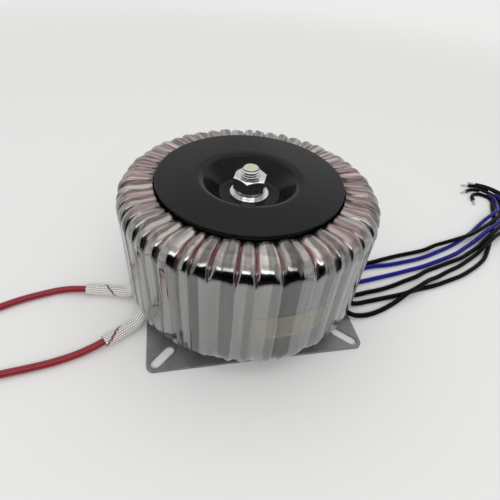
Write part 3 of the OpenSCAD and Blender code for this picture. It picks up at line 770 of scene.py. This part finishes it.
class FilmSpot:  # one point of the film: its place in the section and across its pleat
    def __init__(self, pleats, foot, row, run, angle):
        self.radius, self.height, self.out, self.share, top = row
        self.run, self.angle, self.a = run, angle, math.radians(angle)
        self.crown, self.gap = min(top, 1), max(top - 1, 0)
        self.upright = min(self.share * (1 - self.crown) / film["sideShare"], 1)
        self.hem = 1 - eased((self.height - foot) / (film["hemHigh"] - foot))
        stray = film["wander"] * self.ripple(film["wanderScale"], run)
        strayed = angle + stray * (1 - film["wanderCalm"] * self.gap)
        turned = (strayed - film["firstGroove"]) % 360 + film["firstGroove"]
        number = bisect.bisect_right(pleats, turned, key=lambda pleat: pleat["start"]) - 1
        self.pleat, self.nextPleat = pleats[number], pleats[(number + 1) % len(pleats)]
        self.u = (turned - self.pleat["start"]) / self.pleat["width"]
        self.width = math.radians(self.pleat["width"])

    def ripple(self, scale, up=1, out=1):  # smooth noise that closes round the ring
        around = out * scale[0]
        return noise.noise(Vector((math.cos(self.a) * around, math.sin(self.a) * around, up * scale[1])))

    def lift(self):  # how far the film stands off its plain section
        pleat, u, share, crown = self.pleat, self.u, self.share, self.crown
        inner = eased((film["tentsFrom"] - self.radius) / (film["tentsFrom"] - film["pleatsFrom"]))
        strip = flatStrip(u, film["sideFolds"])
        shape = strip * (1 - crown) + topShape(u, pleat["crest"], inner) * crown
        lift = film["pleatHeight"] * share * pleat["share"] * shape
        arch = math.sin(math.pi * u ** pleat["lean"]) - film["ridgeSink"]
        lift += film["ridge"] * 4 * crown * (1 - crown) * arch
        chord = film["radius"] * (math.cos(self.width / 2) - math.cos(self.width * (u - 0.5)))
        lift += self.upright * strip * (chord * pleat["flat"] + pleat["tilt"] * (u - 0.5))
        lift += film["lapStep"] * self.upright * eased((u - pleat["split"]) / film["lapRun"]) * strip
        lift += film["pucker"] * share * crown * self.ripple(film["puckerScale"], self.run)
        lift += film["hemRuffle"] * self.hem * self.ripple(film["ruffleScale"])
        if share > film["wrinkleFrom"]:
            lift += film["wrinkle"] * self.ripple(film["wrinkleScale"], self.height, self.radius)
        return lift

    def point(self):
        lift, edge = self.lift(), film["pleatsTo"]
        r, z = self.radius + self.out[0] * lift, self.height + self.out[1] * lift
        if self.radius > edge:
            swell = max(math.cos(math.radians(self.angle - film["bulgeAt"])), 0) ** 2
            r += film["bulge"] * swell * (self.radius - edge) / (film["radius"] - edge)
        return r * math.cos(self.a), r * math.sin(self.a), z

    def notch(self):  # 1 in the painted shade of the notch at the inner end of a fold
        reach = (film["notchFrom"] - self.radius) / (film["notchFrom"] - film["pleatsFrom"])
        width = film["notchWidth"] * min(max(reach, 0), 1) ** film["notchPower"] * self.pleat["notch"]
        nearness = (width - min(self.u, 1 - self.u)) / film["notchBlur"] + 0.5
        return eased(nearness) * self.crown if width else 0.0

    def groove(self):  # 1 in the line between two pleats
        after = self.u > 0.5
        across = (1 - self.u if after else self.u) * self.width * self.radius
        holder = self.nextPleat if after else self.pleat
        line = holder["line"] * self.crown + holder["sideLine"] * (1 - self.crown)
        depth = max(0.0, 1 - across / film["grooveWidth"]) * line * (1 - self.gap)
        return min(depth * film["grooveDepth"], 1)

    def marks(self):  # groove, tone with its painted shade, highlights and reflection, share of the top's tones, pink
        pleat, u, shade = self.pleat, self.u, self.notch()
        first, second = pleat["tones"]
        sideTone = first + (second - first) * eased((u - pleat["split"]) / film["toneRun"])
        # painted highlight on the edges of each pleat on top, painted shade along its crest
        bright = eased((abs(u - pleat["crest"]) - film["bandHalf"]) / film["bandBlur"])
        band = film["bandDark"] + (film["bandBright"] - film["bandDark"]) * bright
        topTone = pleat["topTone"] * (1 + (band - 1) * pleat["band"])
        onTop = eased((self.crown - film["topFrom"]) / film["topRun"])
        # patches of painted reflection of the floor at the hem
        patch = max(self.ripple(film["hemReflectionScale"], self.height) + film["hemReflectionLevel"], 0)
        tone = sideTone * (1 - onTop) + topTone * onTop
        # painted shade under the edge of the pad
        tone *= 1 - film["gapShade"] * min(self.gap * film["gapRun"], 1)
        # painted shade in the notches, painted reflection in patches at the hem
        tone *= (1 - film["notchDark"] * shade) * (1 + film["hemReflection"] * self.hem * patch)
        near = math.cos(math.radians(self.angle - film["pinkAt"])) ** 2
        blush = film["pink"] * near - film["pinkLess"] + pleat["blush"] - film["pinkBright"] * bright
        return self.groove() * (1 - shade), tone, onTop, min(max(blush, 0), 1)


def makeFilm():
    pleats, rows, columns = drawPleats(), filmRows(), film["columns"]
    points, marks, places = [], [], []
    run, before = 0.0, rows[0]
    for row in rows:
        run += math.hypot(row[0] - before[0], row[1] - before[1])
        before = row
        for k in range(columns):
            spot = FilmSpot(pleats, rows[0][1], row, run, 360 * k / columns)
            points.append(spot.point())
            marks += spot.marks()
            places += [math.cos(spot.a), math.sin(spot.a), run]
    piece = makePiece("film_wrap", points, gridFaces(len(rows), columns, closedRows=True), filmFinish())
    addMark(piece, "filmMarks", "FLOAT_COLOR", marks)
    addMark(piece, "wrapPlace", "FLOAT_VECTOR", places)
    return piece


place(makeFilm(), "outer_film", slot="film")
print("film wrapped")


# strip of clear tape on the side of the film

tape = {
    "from": -51,  # degrees from +X
    "to": -19,
    "low": 0.034,
    "high": 0.050,
    "columns": 96,
    "rows": 24,
    "radius": 0.07292,
    "ripple": 0.00018,
    "rippleAround": 14,
    "rippleUp": 300,
}


def tapeFinish():
    finish = Finish("clearTape", baseColor=(0.6, 0.55, 0.36), roughness=0.3, coatWeight=0.4)
    finish.put(alpha=finish.spread(finish.noise(finish.place(), 120, 3), 0.04, 0.3))
    finish.bump(finish.noise(finish.place((1, 1, 2)), 420, 3), 0.0002)
    return finish


def makeTape():
    rows, columns = tape["rows"], tape["columns"]
    points = []
    for j in range(rows):
        for k in range(columns):
            a = math.radians(tape["from"] + (tape["to"] - tape["from"]) * k / (columns - 1))
            z = tape["low"] + (tape["high"] - tape["low"]) * j / (rows - 1)
            ripple = noise.noise(Vector((a * tape["rippleAround"], z * tape["rippleUp"], 0)))
            r = tape["radius"] + tape["ripple"] * ripple
            points.append((r * math.cos(a), r * math.sin(a), z))
    return makePiece("tape_strip", points, gridFaces(rows, columns, closedColumns=False), tapeFinish())


place(makeTape(), "tape_patch", slot="tape")


# plate, pads, dish and fasteners

def dress(finish, *names):
    for name in names:
        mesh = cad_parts[name].data
        if not mesh.materials:
            mesh.materials.append(finish.material)
        for i in range(len(mesh.materials)):
            mesh.materials[i] = finish.material


def metalFinish(name, color, worn, gloss, scale):
    finish = Finish(name, metallic=1.0, specularIorLevel=0.5)
    here = finish.place()
    cloud = finish.ramp(finish.noise(here, scale, 5, 0.6), (0.35, 0.0), (0.65, 1.0))
    finish.put(baseColor=finish.blend(cloud, color, worn))
    finish.put(roughness=finish.spread(finish.noise(here, scale * 3, 3), gloss - 0.06, gloss + 0.08))
    finish.bump(finish.noise(here, scale * 8, 4), 0.00004, 0.6, edge=0.0003)
    return finish


def plateFinish():  # galvanised sheet: satin, with faint spangle and short scratches
    finish = Finish("galvanisedSheet", metallic=0.6, specularIorLevel=0.4)
    here = finish.place()
    spangle = finish.add("TexVoronoi", None, {"Vector": here, "Scale": 170.0}, output=1)
    spangle = finish.add("SeparateColor", None, {0: spangle})
    base = finish.blend(finish.spread(spangle, 0.2, 0.8), (0.17, 0.174, 0.178), (0.25, 0.254, 0.256))
    dust = finish.ramp(finish.noise(here, 55, 5, 0.65), (0.5, 0.0), (0.75, 1.0))
    finish.put(baseColor=finish.blend(dust, base, (0.27, 0.265, 0.25)))
    finish.put(roughness=finish.spread(finish.noise(here, 300, 4), 0.36, 0.6))
    finish.bump(finish.noise(finish.place((1, 0.08, 1)), 1600, 3), 0.00005, 0.5, edge=0.0003)
    return finish


def rubberFinish():
    finish = Finish("blackRubber", specularIorLevel=0.3)
    here = finish.place()
    cloud = finish.noise(here, 80, 4)
    finish.put(baseColor=finish.blend(cloud, (0.008, 0.008, 0.008), (0.028, 0.027, 0.026)))
    finish.put(roughness=finish.spread(finish.noise(here, 500, 3), 0.6, 0.85))
    finish.bump(finish.noise(here, 2600, 3), 0.00012)
    return finish


def dishFinish():  # black paint on pressed steel
    finish = Finish("blackPaint", specularIorLevel=0.17)
    here = finish.place()
    dust = finish.ramp(finish.noise(here, 420, 6, 0.7), (0.62, 0.0), (0.78, 1.0))
    finish.put(baseColor=finish.blend(dust, (0.004, 0.0045, 0.0045), (0.03, 0.03, 0.028)))
    finish.put(roughness=finish.spread(finish.noise(here, 240, 4), 0.14, 0.26))
    finish.bump(finish.noise(here, 1500, 3), 0.00003, 0.5, edge=0.0004)
    return finish


zincFinish = metalFinish("brightZinc", (0.84, 0.84, 0.82), (0.68, 0.68, 0.66), 0.16, 260)
springFinish = metalFinish("springSteel", (0.7, 0.7, 0.69), (0.5, 0.5, 0.5), 0.18, 300)
dress(plateFinish(), "base_plate")
dress(rubberFinish(), "lower_rubber_pad", "upper_rubber_pad")
dress(dishFinish(), "clamping_dish")
dress(zincFinish, "flat_washer", "hex_nut")
dress(springFinish, "spring_washer")
print("plate, pads, dish and fasteners finished")


bolt = {
    "radius": 0.005,
    "threadDepth": 0.00095,
    "threadPitch": 0.0015,
    "threadFrom": 0.066,  # height where the thread starts
    "threadRunIn": 0.002,
    "threadSlope": 1.35,  # steepness of the thread's flanks, and how much of its crest is cut flat
    "threadCrest": 0.12,
    "tipChamfer": 0.0011,
    "tipDish": 0.0006,
    "cutFrom": 0.00012,  # depths under the end between which its sheared look begins
    "cutTo": 0.00004,
    "headHeight": 0.0064,
    "headChamfer": 0.0012,
    "headRound": 0.0001,
    "underShare": 0.5,  # rings under the head and at its two edges, as shares of its width
    "chamferShare": 0.98,
    "edgeShare": 0.99,
    "acrossFlats": 0.017,
    "sides": 72,
    "rowsPerTurn": 10,
}


def boltFinish():
    finish = Finish("boltZinc", metallic=1.0, specularIorLevel=0.5)
    here = finish.place()
    height = finish.add("SeparateXYZ", None, {0: here}, output=2)
    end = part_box("centre_bolt")[1].z
    tip = finish.reach(height, end - bolt["cutFrom"], end - bolt["cutTo"])
    cloud = finish.noise(here, 600, 4)
    shaft = finish.blend(cloud, (0.85, 0.85, 0.83), (0.7, 0.7, 0.68))
    sheared = finish.blend(cloud, (0.82, 0.8, 0.66), (0.7, 0.68, 0.54))
    # darker down in the roots of the thread: painted shade
    root = finish.add("Attribute", {"attribute_name": "threadDepth"}, output=2)
    shaft = finish.blend(finish.spread(root, 0.0, 0.92), shaft, (0.05, 0.05, 0.048))
    finish.put(baseColor=finish.blend(tip, shaft, sheared))
    finish.put(roughness=finish.spread(finish.noise(here, 900, 3), 0.14, 0.3))
    finish.bump(finish.noise(here, 2500, 3), 0.00005)
    return finish


def threadAt(a, z):  # depth of the thread from 0 to 1
    share = (z / bolt["threadPitch"] - a / math.tau) % 1
    depth = min(max(abs(2 * share - 1) * bolt["threadSlope"] - bolt["threadCrest"], 0), 1)
    return depth * min(max((z - bolt["threadFrom"]) / bolt["threadRunIn"], 0), 1)


def makeBolt():
    low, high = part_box("centre_bolt")
    headTop, sides = low.z + bolt["headHeight"], bolt["sides"]
    flat, radius = bolt["acrossFlats"] / 2, bolt["radius"]
    endRadius = radius - bolt["tipChamfer"]
    points, depths = [], []

    def ring(z, radiusAt, depthAt=lambda a: 0.0):
        for k in range(sides):
            a = math.tau * k / sides
            points.append((radiusAt(a) * math.cos(a), radiusAt(a) * math.sin(a), z))
            depths.append(depthAt(a))

    def hexagon(a):  # distance from the axis to the head's side
        return flat / math.cos((a + math.pi / 6) % (math.pi / 3) - math.pi / 6)

    ring(low.z, lambda a: flat * bolt["underShare"])
    ring(low.z, lambda a: flat * bolt["chamferShare"])
    ring(low.z + bolt["headChamfer"], hexagon)
    ring(headTop - bolt["headRound"], hexagon)
    ring(headTop, lambda a: flat * bolt["edgeShare"])
    ring(headTop, lambda a: radius)
    heights, step = [bolt["threadFrom"]], bolt["threadPitch"] / bolt["rowsPerTurn"]
    while heights[-1] + step < high.z:
        heights.append(heights[-1] + step)
    for z in heights + [high.z]:
        ring(z, lambda a: min(radius - bolt["threadDepth"] * threadAt(a, z), endRadius + (high.z - z)),
             lambda a: threadAt(a, z))
    ring(high.z, lambda a: endRadius - bolt["tipDish"])
    rows = len(points) // sides
    faces = gridFaces(rows, sides)
    faces.append(tuple(range(sides - 1, -1, -1)))
    faces.append(tuple(range((rows - 1) * sides, rows * sides)))
    piece = makePiece("threaded_bolt", points, faces, boltFinish(), smooth=False)
    addMark(piece, "threadDepth", "FLOAT", depths)
    return piece


place(makeBolt(), "centre_bolt", slot="bright_zinc")
print("bolt cut")


# layers inside the ring

def steelStripFinish():  # edges of the coiled strip
    finish = Finish("coiledStrip", metallic=0.9)
    here = finish.place()
    flatPlace = finish.add("VectorMath", {"operation": "MULTIPLY"}, {0: here, 1: (1.0, 1.0, 0.0)})
    radius = finish.add("VectorMath", {"operation": "LENGTH"}, {0: flatPlace}, output=1)
    turns = finish.add("Math", {"operation": "SINE"}, {0: radius * 10000})
    lines = finish.spread(turns, 0.2, 0.8)
    finish.put(baseColor=finish.blend(lines, (0.16, 0.165, 0.18), (0.34, 0.35, 0.37)))
    finish.put(roughness=finish.spread(finish.noise(here, 200, 3), 0.35, 0.55))
    finish.bump(turns, 0.00005)
    return finish


def aroundFinish(name, count, dark, bright, gloss, metallic):  # turns that run through the hole
    finish = Finish(name, metallic=metallic)
    here = finish.place()
    angle = finish.add("TexGradient", {"gradient_type": "RADIAL"}, {0: here}, output=1)
    wires = finish.add("Math", {"operation": "SINE"}, {0: angle * (math.tau * count)})
    cloud = finish.noise(here, 60, 3)
    # the base colour runs dark between the turns and bright on them: painted shade and painted highlight
    body = finish.blend(finish.spread(wires, 0.0, 1.0), dark, bright)
    finish.put(baseColor=finish.blend(finish.spread(cloud, 0, 0.3), body, dark))
    finish.put(roughness=finish.spread(cloud, gloss - 0.08, gloss + 0.1))
    finish.bump(wires, 0.0003)
    return finish


dress(steelStripFinish(), "steel_core")
dress(aroundFinish("enamelledCopper", 230, (0.3, 0.07, 0.03), (0.72, 0.26, 0.12), 0.28, 0.9),
      "primary_winding", "secondary_winding")
dress(aroundFinish("coreWrap", 40, (0.42, 0.38, 0.3), (0.72, 0.68, 0.58), 0.4, 0.0),
      "core_wrap", "interlayer_insulation")
print("inner layers finished")


# floor, world and lamps

stage = {
    "floorSize": 6.0,
    "floorColor": (0.84, 0.84, 0.83),
    "floorDrop": 0.0001,
    "cardFrom": 0.17,  # beyond this distance reflections see a dark card on the camera's side
    "cardTo": 0.3,
    "cardShade": (0.002, 0.002, 0.002),
    "cardTowards": (0.53, -0.848, 0.0),
    "cardEdges": (0.55, 0.72),
    "cardTop": 0.56,
    "cardBlur": 0.04,
    "paperFrom": 0.35,  # from here the camera sees the floor run into the pale background
    "paperTo": 1.2,
    "paleColor": (0.82, 0.82, 0.81),
    "noColor": (0.0, 0.0, 0.0),
    "softLight": (0.62, 0.62, 0.62),
    "cloudScale": 2.6,
    "cloudLow": (0.4, 0.6),  # noise value and brightness at both ends of the cloud's range
    "cloudHigh": (0.6, 0.98),
    "lampAim": (0, 0, 0.05),
    "lamps": [  # name, place, width and depth, watts
        ("overhead", (-0.15, 0.25, 1.1), (1.7, 1.3), 4.0),
        ("front", (0.47, -0.75, 0.82), (1.5, 0.3), 4.1),
    ],
}


def makeFloor():
    finish = Finish("floorPaper", roughness=0.9, specularIorLevel=0.1)
    here = finish.place()
    far = finish.add("VectorMath", {"operation": "LENGTH"}, {0: here}, output=1)
    direction = finish.add("VectorMath", {"operation": "NORMALIZE"}, {0: here})
    ahead = finish.dot(direction, stage["cardTowards"])
    card = finish.reach(far, stage["cardFrom"], stage["cardTo"])
    front = finish.reach(ahead, *stage["cardEdges"])
    glossyRay = finish.add("LightPath", output=3)
    cameraRay = finish.add("LightPath", output=0)
    away = finish.reach(far, stage["paperFrom"], stage["paperTo"], "SMOOTHSTEP") * cameraRay
    near = finish.blend(card * front * glossyRay, stage["floorColor"], stage["cardShade"])
    finish.put(baseColor=finish.blend(away, near, stage["noColor"]), emissionStrength=1.0)
    finish.put(emissionColor=finish.blend(away, stage["noColor"], stage["paleColor"]))
    size, z = stage["floorSize"] / 2, cadBox[0][2] - stage["floorDrop"]
    points = [(-size, -size, z), (size, -size, z), (size, size, z), (-size, size, z)]
    floor = makePiece("floor", points, [(0, 1, 2, 3)], finish, smooth=False)


def makeWorld():
    world = bpy.data.worlds.new("studio")
    scene.world = world
    world.use_nodes = True
    desk = NodeDesk(world.node_tree)
    direction = desk.add("TexCoord", output=0)
    height = desk.add("SeparateXYZ", None, {0: direction}, output=2)
    front = desk.reach(desk.dot(direction, stage["cardTowards"]), *stage["cardEdges"])
    below = desk.reach(height, stage["cardTop"] + stage["cardBlur"], stage["cardTop"])
    cloud = desk.noise(direction, stage["cloudScale"], 2)
    sky = desk.ramp(cloud, stage["cloudLow"], stage["cloudHigh"])
    seen = desk.blend(front * below, sky, stage["cardShade"])
    light = desk.blend(desk.add("LightPath", output=3), stage["softLight"], seen)
    shown = desk.blend(desk.add("LightPath", output=0), light, stage["paleColor"])
    desk.feed(world.node_tree.nodes["Background"].inputs["Color"], shown)


def makeLamp(name, spot, size, watts):
    data = bpy.data.lights.new(name, "AREA")
    data.shape = "RECTANGLE"
    data.size, data.size_y = size
    data.energy = watts
    lamp = bpy.data.objects.new(name, data)
    scene.collection.objects.link(lamp)
    lamp.location = spot
    lamp.rotation_euler = (Vector(stage["lampAim"]) - Vector(spot)).to_track_quat("-Z", "Y").to_euler()


makeFloor()
makeWorld()
for lamp in stage["lamps"]:
    makeLamp(*lamp)
print("stage lit")
